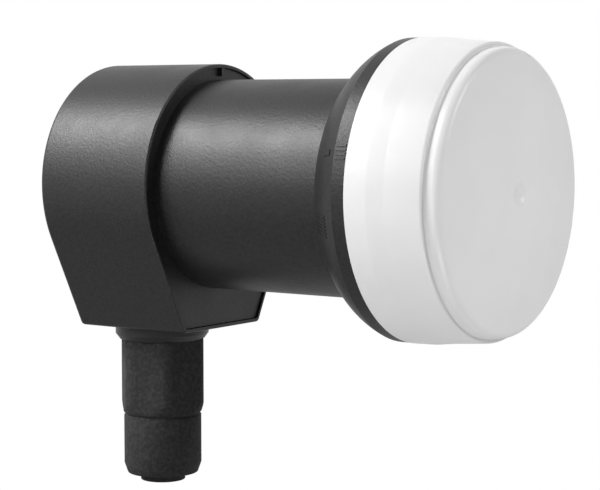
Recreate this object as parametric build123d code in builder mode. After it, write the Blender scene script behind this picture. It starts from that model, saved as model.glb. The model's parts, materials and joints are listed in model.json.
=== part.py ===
"""Universal satellite LNB with a 40 mm neck, a white cap and a weather boot on its F connector.

Millimetres. The origin is in the middle of the neck, on its axis. +X points out of the cap towards
the dish, +Z is up and the connector points down.
"""

import os
from math import cos, radians, sin, sqrt

from build123d import *

os.makedirs("parts", exist_ok=True)

# Neck and drum
NECK_DIAMETER = 40.0
NECK_LENGTH = 35.5
NECK_WALL = 2.0
DRUM_STEP = 3.0  # drum radius over neck radius
DRUM_LENGTH = 26.0
DRUM_FLOOR_STEP = 0.55  # flat underside below the cap
DRUM_SIDE_LEAN = 26.5  # degrees from upright
DRUM_WALL = 2.0
DRUM_REAR_FILLET = 1.0
DRUM_FLOOR_FILLET = 1.0
RIM_WALL = 0.7
RIM_LIP = 0.45  # rim stands proud of the shroud plate
RIM_EDGE_FILLET = 0.35
PLATE_THICKNESS = 2.0
PLATE_GAP = 0.1
SEAL_THICKNESS = 0.6
KEY_RIB_WIDTH = 0.8
KEY_RIB_HEIGHT = 0.8
KEY_RIB_GAP = 0.7  # foot of the rib over the neck

# Flare, flange and the spigot that carries the cap
FLARE_LENGTH = 8.0
FLARE_BULGE = 1.0
FLARE_WALL = 2.4
FLANGE_WIDTH = 2.5
FLANGE_SHOULDER = 2.1  # flange radius over spigot radius
SPIGOT_DIAMETER = 50.0
SPIGOT_LENGTH = 5.1
SPIGOT_WALL = 1.8
CAP_SEAL_SECTION = 0.9
CAP_SEAL_GROOVE = 1.3
CAP_SEAL_SETBACK = 2.6

# Cap
CAP_SKIRT_WALL = 2.15
CAP_SKIRT_GAP = 0.2
CAP_BAND_LENGTH = 4.2
CAP_BAND_DRAFT = 0.1
CAP_STEP_LENGTH = 3.2
CAP_STEP_DRAFT = 0.4
CAP_SIDE_LENGTH = 6.9
CAP_SIDE_DRAFT = 0.55
CAP_CREST_FILLET = 0.4
CAP_GROOVE_WIDTH = 0.65
CAP_GROOVE_DEPTH = 0.3
CAP_FACE_STAND = 2.7  # edge of the face ahead of the crest
CAP_FACE_FILLET = 1.9
CAP_DOME_RISE = 1.55
CAP_FACE_WALL = 1.8
CAP_SIDE_WALL = 1.9
DIMPLE_DIAMETER = 3.9
DIMPLE_DEPTH = 0.5

# Waveguide casting and feed horn
WAVEGUIDE_DIAMETER = 18.0
TUBE_WALL = 3.5
CASTING_PLATE = 3.5
CASTING_GAP = 0.3
RIB_THICKNESS = 2.0
RIB_GAP = 0.1
RIB_COUNT = 4
HORN_SOCKET_DEPTH = 6.0
HORN_HUB_WALL = 2.5
HORN_THROAT_FLARE = 2.5
HORN_THROAT_LENGTH = 9.0
HORN_SLOTS = 3
HORN_SLOT_DEPTH = 5.0
HORN_STEP = 2.5
HORN_FIN = 1.2
HORN_RIM_WALL = 2.0

# Shroud screws
SHROUD_SCREW_DIAMETER = 1.4
SHROUD_SCREW_HEAD = 2.6
SHROUD_SCREW_HEAD_HEIGHT = 1.0
SHROUD_SCREW_REACH = 2.2  # into the plate and its boss beyond the casting
SHROUD_BOSS_DIAMETER = 2.8
SHROUD_BOSS_HEIGHT = 1.5
SHROUD_SCREW_COUNT = 4
SCREW_HOLE_GAP = 0.15

# Board, shield cover and their screws
BOARD_THICKNESS = 1.0
BOARD_GAP = 0.4
COVER_SETBACK = 0.2
COVER_WALL = 1.3
COVER_ROOF = 1.5
COVER_POCKET_DEPTH = 6.25
BACK_SHORT_WALL = 1.2
POST_DIAMETER = 4.4
COVER_SCREW_DIAMETER = 1.9
COVER_SCREW_HEAD = 3.6
COVER_SCREW_HEAD_HEIGHT = 1.4
COVER_SCREW_REACH = 2.8
COVER_SCREW_COUNT = 4
DRIVER_SLOT_WIDTH = 0.5
DRIVER_SLOT_DEPTH = 0.5
PROBE_WIDTH = 1.4
PROBE_THICKNESS = 0.25
PROBE_INNER_END = 3.0
TUNNEL_WIDTH = 3.0
TUNNEL_HEIGHT = 1.25

# Parts on the board
TRANSISTOR_SIDE = 1.8
TRANSISTOR_HEIGHT = 0.9
PUCK_HEIGHT = 2.4
PUCK_GAP = 0.55
HIGH_PUCK_TRIM = 0.5  # the high band puck is this much smaller across
PUCK_SPREAD = 14.0  # degrees to each side of level
TUNING_SCREW_DIAMETER = 3.0
TUNING_SCREW_STAND = 1.1
TUNING_SCREW_CLEAR = 1.0
SECOND_STAGE_ANGLE = 66.0  # degrees round the board
MIXER_ANGLE = 20.0  # degrees round the board
MIXER_SIDE = 3.0
MIXER_HEIGHT = 1.0
CHIP_LENGTH = 3.0
CHIP_WIDTH = 2.2
AMPLIFIER_HEIGHT = 1.2
REGULATOR_HEIGHT = 1.5
CHIP_SETOUT = 5.6
ELECTROLYTIC_DIAMETER = 3.8
ELECTROLYTIC_HEIGHT = 4.6
CHIP_CAPACITOR_LENGTH = 1.0
CHIP_CAPACITOR_WIDTH = 0.5
CHIP_CAPACITOR_COUNT = 4
CHIP_CAPACITOR_START = 102.0  # degrees round the board
CHIP_CAPACITOR_SPAN = 24.0
ABSORBER_LENGTH = 8.0
ABSORBER_WIDTH = 3.0
ABSORBER_THICKNESS = 1.0

# Connector
CONNECTOR_OFFSET = -2.0  # behind the middle of the drum
THREAD_DIAMETER = 9.525  # 3/8 inch
THREAD_LENGTH = 11.0
THREAD_CHAMFER = 0.4
SHOULDER_DIAMETER = 11.2
SHOULDER_LENGTH = 2.8
HEX_ACROSS_FLATS = 12.0
HEX_THICKNESS = 2.5
SHANK_DIAMETER = 8.4
SHANK_LENGTH = 10.7
SHANK_HOLE_GAP = 0.2
SHANK_TIP_GAP = 0.7
SHANK_TOP_WALL = 2.0
BLOCK_WALL = 2.1
BLOCK_HALF_WIDTH = 7.5
BLOCK_TOP_GAP = 0.7
O_RING_SECTION = 0.8
O_RING_LAND = 0.55
INSULATOR_DIAMETER = 5.8
INSULATOR_SETBACK = 0.8
INSULATOR_LIP = 0.8
SOCKET_DIAMETER = 2.2
SOCKET_LENGTH = 12.4
SOCKET_BORE_DIAMETER = 1.1
SOCKET_BORE_DEPTH = 8.0
CONTACT_DIAMETER = 1.0
CONTACT_BEND = 1.2
CONTACT_HOLE_DIAMETER = 3.4
NOTCH_HALF_WIDTH = 3.0
NOTCH_WALL = 0.3
CONTACT_ROOM = 0.6
BOARD_TAIL = 2.0

# Collar and weather boot
COLLAR_WALL = 2.0
COLLAR_BORE_GAP = 0.27
COLLAR_DROP = 3.0
COLLAR_BEVEL_WIDTH = 0.8
COLLAR_BEVEL_HEIGHT = 1.1
BOOT_TOP_GAP = 0.05
BOOT_LIP_GAP = 0.08
BOOT_LIP_LENGTH = 2.0
BOOT_CAVITY_DIAMETER = 12.8
BOOT_CAVITY_LENGTH = 17.25
BOOT_FLAT_WALL = 1.4
BOOT_CORNER_STAND = 0.7
BOOT_HEX_LENGTH = 12.7
BOOT_HEX_TURN = 16.5  # degrees
BOOT_BEVEL_HEIGHT = 2.0
BOOT_GROOVE_WIDTH = 0.5
BOOT_GROOVE_DEPTH = 0.3
BOOT_TAIL_WALL = 1.25
BOOT_TAIL_LENGTH = 11.55
BOOT_TAIL_BEVEL_WIDTH = 0.7
BOOT_TAIL_BEVEL_HEIGHT = 2.0
BOOT_TOP_BEVEL = 0.3
CABLE_BORE_DIAMETER = 6.9
CABLE_LIP_WALL = 0.95
CABLE_LIP_LENGTH = 1.5

# Radii about the neck's axis
neck_radius = NECK_DIAMETER / 2
neck_bore = neck_radius - NECK_WALL
drum_radius = neck_radius + DRUM_STEP
cavity_radius = drum_radius - DRUM_WALL
casting_radius = cavity_radius - CASTING_GAP
waveguide_radius = WAVEGUIDE_DIAMETER / 2
tube_radius = waveguide_radius + TUBE_WALL
spigot_radius = SPIGOT_DIAMETER / 2
spigot_bore = spigot_radius - SPIGOT_WALL
flange_radius = spigot_radius + FLANGE_SHOULDER
cap_radius = spigot_radius + CAP_SKIRT_WALL

# Stations along the neck's axis, from the cap back to the rear wall
neck_front_x = NECK_LENGTH / 2
neck_back_x = -neck_front_x
flange_back_x = neck_front_x + FLARE_LENGTH
flange_front_x = flange_back_x + FLANGE_WIDTH
spigot_front_x = flange_front_x + SPIGOT_LENGTH
rim_x = neck_back_x + RIM_LIP
plate_back_x = neck_back_x - PLATE_THICKNESS
ledge_x = plate_back_x - SEAL_THICKNESS
casting_front_x = plate_back_x - SHROUD_BOSS_HEIGHT
board_front_x = casting_front_x - CASTING_PLATE
board_back_x = board_front_x - BOARD_THICKNESS
roof_inner_x = board_back_x - COVER_POCKET_DEPTH
roof_outer_x = roof_inner_x - COVER_ROOF
drum_rear_x = rim_x - DRUM_LENGTH

# The ring of room over the board, between the back-short and the cover's outer wall
shroud_screw_circle = casting_radius - SHROUD_BOSS_DIAMETER / 2
board_radius = shroud_screw_circle - SHROUD_SCREW_HEAD / 2 - BOARD_GAP
cover_radius = board_radius - COVER_SETBACK
pocket_outer = cover_radius - COVER_WALL
pocket_inner = waveguide_radius + BACK_SHORT_WALL
pocket_middle = (pocket_outer + pocket_inner) / 2
post_circle = cover_radius - POST_DIAMETER / 2

# Heights, from the board down to the end of the boot
contact_z = -(pocket_inner + NOTCH_WALL + CONTACT_ROOM + CONTACT_DIAMETER / 2)
board_floor_z = contact_z - BOARD_TAIL
cover_floor_z = board_floor_z + COVER_SETBACK
block_top_z = board_floor_z - BLOCK_TOP_GAP
floor_z = -(cap_radius + DRUM_FLOOR_STEP)
block_floor_z = floor_z + DRUM_WALL
hex_floor_z = floor_z - HEX_THICKNESS
collar_floor_z = floor_z - COLLAR_DROP
shoulder_floor_z = hex_floor_z - SHOULDER_LENGTH
thread_floor_z = shoulder_floor_z - THREAD_LENGTH
shank_top_z = floor_z + SHANK_LENGTH
boot_top_z = collar_floor_z - BOOT_TOP_GAP
lip_floor_z = boot_top_z - BOOT_LIP_LENGTH
cavity_floor_z = lip_floor_z - BOOT_CAVITY_LENGTH
hex_bevel_z = boot_top_z - BOOT_HEX_LENGTH
groove_top_z = hex_bevel_z - BOOT_BEVEL_HEIGHT
groove_floor_z = groove_top_z - BOOT_GROOVE_WIDTH
tail_floor_z = groove_floor_z - BOOT_TAIL_LENGTH
boot_floor_z = tail_floor_z - CABLE_LIP_LENGTH

# The connector hangs below the drum on its own upright axis
connector_x = (rim_x + drum_rear_x) / 2 + CONNECTOR_OFFSET
connector_axis = Axis((connector_x, 0, 0), (0, 0, 1))
thread_radius = THREAD_DIAMETER / 2
shoulder_radius = SHOULDER_DIAMETER / 2
shank_radius = SHANK_DIAMETER / 2
insulator_radius = INSULATOR_DIAMETER / 2
socket_radius = SOCKET_DIAMETER / 2
contact_radius = CONTACT_DIAMETER / 2
collar_bore = HEX_ACROSS_FLATS / sqrt(3) + COLLAR_BORE_GAP
collar_radius = collar_bore + COLLAR_WALL
insulator_floor_z = thread_floor_z + INSULATOR_SETBACK
socket_floor_z = insulator_floor_z + INSULATOR_LIP
socket_top_z = socket_floor_z + SOCKET_LENGTH
insulator_top_z = shank_top_z - SHANK_TOP_WALL


def drum_section(inset):
    """The drum's outline moved inwards: a round with straight sides running down to a flat floor."""
    radius = drum_radius - inset
    floor = floor_z + inset
    lean = radians(DRUM_SIDE_LEAN)
    side_top = (radius * cos(lean), -radius * sin(lean))
    side_foot = ((radius + floor * sin(lean)) / cos(lean), floor)
    with BuildSketch() as section:
        with BuildLine():
            ThreePointArc((-side_top[0], side_top[1]), (0, radius), side_top)
            Polyline(side_top, side_foot, (-side_foot[0], floor), (-side_top[0], side_top[1]))
        make_face()
        fillet(section.vertices().group_by(Axis.Y)[0], DRUM_FLOOR_FILLET)
    return section.sketch


def around_connector(*outline):
    """Points given as radius and height become points in the plane of the connector's axis."""
    return [(connector_x + radius, height) for radius, height in outline]


def on_ring(radius, degrees):
    """A place over the board, as an angle from +Y towards +Z."""
    return (radius * cos(radians(degrees)), radius * sin(radians(degrees)))


def sphere_radius(half_width, rise):
    """Radius of a shallow dome from its half width and its rise."""
    return (half_width**2 + rise**2) / (2 * rise)


def fall_away(radius, height):
    """How far a sphere's surface has dropped behind its top at a height over the axis."""
    return radius - sqrt(radius**2 - height**2)


# Rear housing: drum shell, rim for the shroud plate, collar round the connector
with BuildPart() as rear_housing:
    with BuildSketch(Plane.YZ.offset(drum_rear_x)):
        add(drum_section(0))
    extrude(amount=DRUM_LENGTH)
    fillet(rear_housing.faces().sort_by(Axis.X)[0].edges(), DRUM_REAR_FILLET)
    fillet(rear_housing.faces().sort_by(Axis.X)[-1].edges(), RIM_EDGE_FILLET)
    with BuildSketch(Plane.YZ.offset(rim_x)):
        add(drum_section(DRUM_WALL))
    extrude(amount=-(DRUM_LENGTH - DRUM_WALL), mode=Mode.SUBTRACT)
    with BuildSketch(Plane.YZ.offset(ledge_x)):
        add(drum_section(RIM_WALL))
    extrude(amount=rim_x - ledge_x, mode=Mode.SUBTRACT)
    with BuildSketch(Plane.XZ):
        with BuildLine():
            Polyline(
                *around_connector(
                    (collar_bore, floor_z),
                    (collar_bore, collar_floor_z),
                    (collar_radius - COLLAR_BEVEL_WIDTH, collar_floor_z),
                    (collar_radius, collar_floor_z + COLLAR_BEVEL_HEIGHT),
                    (collar_radius, floor_z),
                ),
                close=True,
            )
        make_face()
    revolve(axis=connector_axis)
    with BuildSketch(Plane.XY.offset(floor_z)):
        with Locations((connector_x, 0)):
            Circle(shank_radius + SHANK_HOLE_GAP)
    extrude(amount=DRUM_WALL, mode=Mode.SUBTRACT)
rear_housing.part.label = "rear_housing"
export_step(rear_housing.part, "parts/rear_housing.step")

# Front shroud: plate in the drum's rim, neck, flare, flange and spigot
cap_seal_x = spigot_front_x - CAP_SEAL_SETBACK
key_rib_top = drum_radius - RIM_WALL - PLATE_GAP
key_rib_foot = neck_radius + KEY_RIB_GAP
with BuildPart() as front_shroud:
    with BuildSketch(Plane.YZ.offset(plate_back_x)):
        add(drum_section(RIM_WALL + PLATE_GAP))
        Circle(neck_bore, mode=Mode.SUBTRACT)
    extrude(amount=PLATE_THICKNESS)
    with BuildSketch(Plane.XZ):
        with BuildLine():
            Polyline((plate_back_x, neck_bore), (plate_back_x, neck_radius), (neck_front_x, neck_radius))
            SagittaArc((neck_front_x, neck_radius), (flange_back_x, flange_radius), FLARE_BULGE)
            Polyline(
                (flange_back_x, flange_radius),
                (flange_front_x, flange_radius),
                (flange_front_x, spigot_radius),
                (spigot_front_x, spigot_radius),
                (spigot_front_x, spigot_bore),
                (flange_back_x + FLARE_WALL, spigot_bore),
            )
            SagittaArc(
                (flange_back_x + FLARE_WALL, spigot_bore),
                (neck_front_x + FLARE_WALL / 2, neck_bore),
                -FLARE_BULGE,
            )
            Line((neck_front_x + FLARE_WALL / 2, neck_bore), (plate_back_x, neck_bore))
        make_face()
        with Locations((cap_seal_x, spigot_radius)):
            Rectangle(CAP_SEAL_GROOVE, 2 * CAP_SEAL_SECTION, mode=Mode.SUBTRACT)
    revolve(axis=Axis.X)
    with BuildSketch(Plane.YZ.offset(plate_back_x)):
        with PolarLocations(shroud_screw_circle, SHROUD_SCREW_COUNT, start_angle=180 / SHROUD_SCREW_COUNT):
            Circle(SHROUD_BOSS_DIAMETER / 2)
    extrude(amount=-SHROUD_BOSS_HEIGHT)
    with BuildSketch(Plane.YZ.offset(casting_front_x)):
        with PolarLocations(shroud_screw_circle, SHROUD_SCREW_COUNT, start_angle=180 / SHROUD_SCREW_COUNT):
            Circle(SHROUD_SCREW_DIAMETER / 2)
    extrude(amount=SHROUD_SCREW_REACH, mode=Mode.SUBTRACT)
    with BuildSketch(Plane.YZ.offset(neck_back_x)):
        with Locations((0, (key_rib_foot + key_rib_top) / 2)):
            Rectangle(KEY_RIB_WIDTH, key_rib_top - key_rib_foot)
    extrude(amount=KEY_RIB_HEIGHT)
front_shroud.part.label = "front_shroud"
export_step(front_shroud.part, "parts/front_shroud.step")

# Housing seal: flat ring between the drum's ledge and the shroud plate
with BuildPart() as housing_seal:
    with BuildSketch(Plane.YZ.offset(ledge_x)):
        add(drum_section(RIM_WALL + PLATE_GAP))
        add(drum_section(DRUM_WALL), mode=Mode.SUBTRACT)
    extrude(amount=SEAL_THICKNESS)
housing_seal.part.label = "housing_seal"
export_step(housing_seal.part, "parts/housing_seal.step")

# Cap seal ring: round section in the spigot's groove, pressed by the cap's skirt
with BuildPart() as cap_seal_ring:
    with BuildSketch(Plane.XZ):
        with Locations((cap_seal_x, spigot_radius - CAP_SEAL_SECTION / 2)):
            Circle(CAP_SEAL_SECTION / 2)
    revolve(axis=Axis.X)
cap_seal_ring.part.label = "cap_seal_ring"
export_step(cap_seal_ring.part, "parts/cap_seal_ring.step")

# Front cap: drafted side with a gentle step, ring groove, domed face with a dimple
band_x = flange_front_x + CAP_BAND_LENGTH
step_x = band_x + CAP_STEP_LENGTH
crest_x = step_x + CAP_SIDE_LENGTH
band_radius = cap_radius - CAP_BAND_DRAFT
step_radius = band_radius - CAP_STEP_DRAFT
crest_radius = step_radius - CAP_SIDE_DRAFT
face_radius = crest_radius - CAP_GROOVE_WIDTH
groove_x = crest_x - CAP_GROOVE_DEPTH
face_x = crest_x + CAP_FACE_STAND
apex_x = face_x + CAP_DOME_RISE
skirt_x = spigot_front_x + CAP_SKIRT_GAP
inner_radius = face_radius - CAP_SIDE_WALL
dome_radius = sphere_radius(face_radius, CAP_DOME_RISE)
inner_dome_radius = sphere_radius(inner_radius, CAP_DOME_RISE)
dimple_radius = sphere_radius(DIMPLE_DIAMETER / 2, DIMPLE_DEPTH)
dimple_x = apex_x - DIMPLE_DEPTH
dimple_edge = (apex_x - fall_away(dome_radius, DIMPLE_DIAMETER / 2), DIMPLE_DIAMETER / 2)
inner_apex_x = apex_x - CAP_FACE_WALL
with BuildPart() as front_cap:
    with BuildSketch(Plane.XZ) as cap_profile:
        with BuildLine():
            ThreePointArc(
                (dimple_x, 0),
                (dimple_x + fall_away(dimple_radius, DIMPLE_DIAMETER / 4), DIMPLE_DIAMETER / 4),
                dimple_edge,
            )
            ThreePointArc(
                dimple_edge,
                (apex_x - fall_away(dome_radius, face_radius / 2), face_radius / 2),
                (face_x, face_radius),
            )
            Polyline(
                (face_x, face_radius),
                (groove_x, face_radius),
                (crest_x, crest_radius),
                (step_x, step_radius),
                (band_x, band_radius),
                (flange_front_x, cap_radius),
                (flange_front_x, spigot_radius),
                (skirt_x, spigot_radius),
                (skirt_x, inner_radius),
                (face_x - CAP_FACE_WALL, inner_radius),
            )
            ThreePointArc(
                (face_x - CAP_FACE_WALL, inner_radius),
                (inner_apex_x - fall_away(inner_dome_radius, inner_radius / 2), inner_radius / 2),
                (inner_apex_x, 0),
            )
            Line((inner_apex_x, 0), (dimple_x, 0))
        make_face()
        corners = cap_profile.vertices()
        fillet(corners.sort_by_distance((crest_x, crest_radius))[0], CAP_CREST_FILLET)
        corners = cap_profile.vertices()
        fillet(corners.sort_by_distance((face_x, face_radius))[0], CAP_FACE_FILLET)
    revolve(axis=Axis.X)
front_cap.part.label = "front_cap"
export_step(front_cap.part, "parts/front_cap.step")

# Waveguide casting: plate behind the shroud, tube through the neck, ribs, connector block
tube_front_x = neck_front_x
rib_front_x = tube_front_x - HORN_SOCKET_DEPTH - HORN_HUB_WALL
block_rear_x = connector_x - shank_radius - BLOCK_WALL
with BuildPart() as waveguide_casting:
    with BuildSketch(Plane.YZ.offset(board_front_x)):
        Circle(casting_radius)
    extrude(amount=CASTING_PLATE)
    with BuildSketch(Plane.YZ.offset(casting_front_x)):
        with PolarLocations(0, RIB_COUNT):
            with Locations(((neck_bore - RIB_GAP) / 2, 0)):
                Rectangle(neck_bore - RIB_GAP, RIB_THICKNESS)
    extrude(amount=rib_front_x - casting_front_x)
    with BuildSketch(Plane.YZ.offset(casting_front_x)):
        Circle(tube_radius)
    extrude(amount=tube_front_x - casting_front_x)
    with BuildSketch(Plane.XY.offset(block_floor_z)):
        with Locations(((block_rear_x + casting_front_x) / 2, 0)):
            Rectangle(casting_front_x - block_rear_x, 2 * BLOCK_HALF_WIDTH)
    extrude(amount=block_top_z - block_floor_z)
    with BuildSketch(Plane.YZ.offset(board_front_x)):
        Circle(waveguide_radius)
    extrude(amount=tube_front_x - board_front_x, mode=Mode.SUBTRACT)
    with BuildSketch(Plane.XY.offset(block_floor_z)):
        with Locations((connector_x, 0)):
            Circle(shank_radius)
    extrude(amount=shank_top_z + SHANK_TIP_GAP - block_floor_z, mode=Mode.SUBTRACT)
    with BuildSketch(Plane.XY.offset(block_floor_z)):
        with Locations((connector_x, 0)):
            Circle(CONTACT_HOLE_DIAMETER / 2)
    extrude(amount=block_top_z - block_floor_z, mode=Mode.SUBTRACT)
    with BuildSketch(Plane.YZ.offset(board_front_x)):
        with PolarLocations(post_circle, COVER_SCREW_COUNT, start_angle=180 / COVER_SCREW_COUNT):
            Circle(COVER_SCREW_DIAMETER / 2)
    extrude(amount=COVER_SCREW_REACH, mode=Mode.SUBTRACT)
    with BuildSketch(Plane.YZ.offset(board_front_x)):
        with PolarLocations(shroud_screw_circle, SHROUD_SCREW_COUNT, start_angle=180 / SHROUD_SCREW_COUNT):
            Circle(SHROUD_SCREW_DIAMETER / 2 + SCREW_HOLE_GAP)
    extrude(amount=CASTING_PLATE, mode=Mode.SUBTRACT)
waveguide_casting.part.label = "waveguide_casting"
export_step(waveguide_casting.part, "parts/waveguide_casting.step")

# Feed horn ring: hub on the tube, throat, stepped choke slots, rim seated in the spigot
hub_back_x = tube_front_x - HORN_SOCKET_DEPTH
hub_radius = tube_radius + HORN_HUB_WALL
throat_radius = waveguide_radius + HORN_THROAT_FLARE
throat_x = tube_front_x + HORN_THROAT_LENGTH
slot_pitch = (spigot_bore - HORN_RIM_WALL - throat_radius) / HORN_SLOTS
mouth_x = throat_x + HORN_SLOTS * HORN_STEP
with BuildPart() as feed_horn_ring:
    with BuildSketch(Plane.XZ):
        with BuildLine():
            Polyline(
                (tube_front_x, waveguide_radius),
                (tube_front_x, tube_radius),
                (hub_back_x, tube_radius),
                (hub_back_x, hub_radius),
                (tube_front_x, hub_radius),
                (flange_back_x + FLARE_WALL, spigot_bore),
                (mouth_x, spigot_bore),
                (mouth_x, spigot_bore - HORN_RIM_WALL),
                (throat_x, throat_radius),
                close=True,
            )
        make_face()
    revolve(axis=Axis.X)
    for slot in range(HORN_SLOTS):
        slot_inner = throat_radius + slot * slot_pitch + HORN_FIN
        slot_outer = throat_radius + (slot + 1) * slot_pitch
        fin_front_x = throat_x + slot * HORN_STEP
        with BuildSketch(Plane.YZ.offset(fin_front_x)):
            Circle(slot_outer)
            Circle(slot_inner - HORN_FIN, mode=Mode.SUBTRACT)
        extrude(amount=mouth_x - fin_front_x, mode=Mode.SUBTRACT)
        with BuildSketch(Plane.YZ.offset(fin_front_x - HORN_SLOT_DEPTH)):
            Circle(slot_outer)
            Circle(slot_inner, mode=Mode.SUBTRACT)
        extrude(amount=HORN_SLOT_DEPTH, mode=Mode.SUBTRACT)
feed_horn_ring.part.label = "feed_horn_ring"
export_step(feed_horn_ring.part, "parts/feed_horn_ring.step")

# Circuit board: lies on the casting's plate across the end of the waveguide
with BuildPart() as circuit_board:
    with BuildSketch(Plane.YZ.offset(board_back_x)):
        Circle(board_radius)
        with Locations((0, board_floor_z - board_radius)):
            Rectangle(2 * board_radius, 2 * board_radius, mode=Mode.SUBTRACT)
        with PolarLocations(post_circle, COVER_SCREW_COUNT, start_angle=180 / COVER_SCREW_COUNT):
            Circle(COVER_SCREW_DIAMETER / 2 + SCREW_HOLE_GAP, mode=Mode.SUBTRACT)
    extrude(amount=BOARD_THICKNESS)
circuit_board.part.label = "circuit_board"
export_step(circuit_board.part, "parts/circuit_board.step")

# Shield cover: back-short, ring pocket over the board, screw posts, notch for the contact
notch_top_z = -(pocket_inner + NOTCH_WALL)
tunnel_middle = waveguide_radius + BACK_SHORT_WALL / 2
puck_low = on_ring(pocket_middle, 180 - PUCK_SPREAD)
puck_high = on_ring(pocket_middle, 180 + PUCK_SPREAD)
with BuildPart() as shield_cover:
    with BuildSketch(Plane.YZ.offset(roof_outer_x)):
        Circle(cover_radius)
        with Locations((0, cover_floor_z - cover_radius)):
            Rectangle(2 * cover_radius, 2 * cover_radius, mode=Mode.SUBTRACT)
    extrude(amount=board_back_x - roof_outer_x)
    with BuildSketch(Plane.YZ.offset(roof_inner_x)):
        Circle(pocket_outer)
        Circle(pocket_inner, mode=Mode.SUBTRACT)
        with Locations((0, cover_floor_z + COVER_WALL - cover_radius)):
            Rectangle(2 * cover_radius, 2 * cover_radius, mode=Mode.SUBTRACT)
        with PolarLocations(post_circle, COVER_SCREW_COUNT, start_angle=180 / COVER_SCREW_COUNT):
            Circle(POST_DIAMETER / 2, mode=Mode.SUBTRACT)
    extrude(amount=COVER_POCKET_DEPTH, mode=Mode.SUBTRACT)
    with BuildSketch(Plane.YZ.offset(roof_inner_x)):
        Circle(waveguide_radius)
    extrude(amount=COVER_POCKET_DEPTH, mode=Mode.SUBTRACT)
    with BuildSketch(Plane.YZ.offset(roof_outer_x)):
        with Locations((0, (notch_top_z + cover_floor_z) / 2)):
            Rectangle(2 * NOTCH_HALF_WIDTH, notch_top_z - cover_floor_z)
        with PolarLocations(post_circle, COVER_SCREW_COUNT, start_angle=180 / COVER_SCREW_COUNT):
            Circle(COVER_SCREW_DIAMETER / 2 + SCREW_HOLE_GAP)
        with Locations(puck_low, puck_high):
            Circle(TUNING_SCREW_DIAMETER / 2)
    extrude(amount=board_back_x - roof_outer_x, mode=Mode.SUBTRACT)
    with BuildSketch(Plane.YZ.offset(board_back_x)):
        with Locations((0, tunnel_middle)):
            Rectangle(TUNNEL_WIDTH, 2 * BACK_SHORT_WALL)
        with Locations((tunnel_middle, 0)):
            Rectangle(2 * BACK_SHORT_WALL, TUNNEL_WIDTH)
    extrude(amount=-TUNNEL_HEIGHT, mode=Mode.SUBTRACT)
shield_cover.part.label = "shield_cover"
export_step(shield_cover.part, "parts/shield_cover.step")

# Cover screws: through the cover's posts and the board into the casting
with BuildPart() as cover_screws:
    with BuildSketch(Plane.YZ.offset(roof_outer_x)):
        with PolarLocations(post_circle, COVER_SCREW_COUNT, start_angle=180 / COVER_SCREW_COUNT):
            Circle(COVER_SCREW_HEAD / 2)
    extrude(amount=-COVER_SCREW_HEAD_HEIGHT)
    with BuildSketch(Plane.YZ.offset(roof_outer_x)):
        with PolarLocations(post_circle, COVER_SCREW_COUNT, start_angle=180 / COVER_SCREW_COUNT):
            Circle(COVER_SCREW_DIAMETER / 2)
    extrude(amount=board_front_x + COVER_SCREW_REACH - roof_outer_x)
    with BuildSketch(Plane.YZ.offset(roof_outer_x - COVER_SCREW_HEAD_HEIGHT)):
        with PolarLocations(post_circle, COVER_SCREW_COUNT, start_angle=180 / COVER_SCREW_COUNT):
            Rectangle(COVER_SCREW_HEAD, DRIVER_SLOT_WIDTH)
    extrude(amount=DRIVER_SLOT_DEPTH, mode=Mode.SUBTRACT)
cover_screws.part.label = "cover_screws"
export_step(cover_screws.part, "parts/cover_screws.step")

# Shroud screws: through the casting's plate into the bosses on the shroud
with BuildPart() as shroud_screws:
    with BuildSketch(Plane.YZ.offset(board_front_x)):
        with PolarLocations(shroud_screw_circle, SHROUD_SCREW_COUNT, start_angle=180 / SHROUD_SCREW_COUNT):
            Circle(SHROUD_SCREW_HEAD / 2)
    extrude(amount=-SHROUD_SCREW_HEAD_HEIGHT)
    with BuildSketch(Plane.YZ.offset(board_front_x)):
        with PolarLocations(shroud_screw_circle, SHROUD_SCREW_COUNT, start_angle=180 / SHROUD_SCREW_COUNT):
            Circle(SHROUD_SCREW_DIAMETER / 2)
    extrude(amount=CASTING_PLATE + SHROUD_SCREW_REACH)
    with BuildSketch(Plane.YZ.offset(board_front_x - SHROUD_SCREW_HEAD_HEIGHT)):
        with PolarLocations(shroud_screw_circle, SHROUD_SCREW_COUNT, start_angle=180 / SHROUD_SCREW_COUNT):
            Rectangle(SHROUD_SCREW_HEAD, DRIVER_SLOT_WIDTH)
    extrude(amount=DRIVER_SLOT_DEPTH, mode=Mode.SUBTRACT)
shroud_screws.part.label = "shroud_screws"
export_step(shroud_screws.part, "parts/shroud_screws.step")

# Probes: strips on the board that reach into the waveguide, one upright and one level
probe_outer_end = pocket_middle - TRANSISTOR_SIDE / 2
with BuildPart() as vertical_probe:
    with BuildSketch(Plane.YZ.offset(board_back_x)):
        with Locations((0, (PROBE_INNER_END + probe_outer_end) / 2)):
            Rectangle(PROBE_WIDTH, probe_outer_end - PROBE_INNER_END)
    extrude(amount=-PROBE_THICKNESS)
vertical_probe.part.label = "vertical_probe"
export_step(vertical_probe.part, "parts/vertical_probe.step")

with BuildPart() as horizontal_probe:
    with BuildSketch(Plane.YZ.offset(board_back_x)):
        with Locations(((PROBE_INNER_END + probe_outer_end) / 2, 0)):
            Rectangle(probe_outer_end - PROBE_INNER_END, PROBE_WIDTH)
    extrude(amount=-PROBE_THICKNESS)
horizontal_probe.part.label = "horizontal_probe"
export_step(horizontal_probe.part, "parts/horizontal_probe.step")

# Low noise transistors: one at the end of each probe and one behind them
with BuildPart() as low_noise_transistors:
    with BuildSketch(Plane.YZ.offset(board_back_x)):
        with Locations((0, pocket_middle), (pocket_middle, 0), on_ring(pocket_middle, SECOND_STAGE_ANGLE)):
            Rectangle(TRANSISTOR_SIDE, TRANSISTOR_SIDE)
    extrude(amount=-TRANSISTOR_HEIGHT)
low_noise_transistors.part.label = "low_noise_transistors"
export_step(low_noise_transistors.part, "parts/low_noise_transistors.step")

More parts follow.
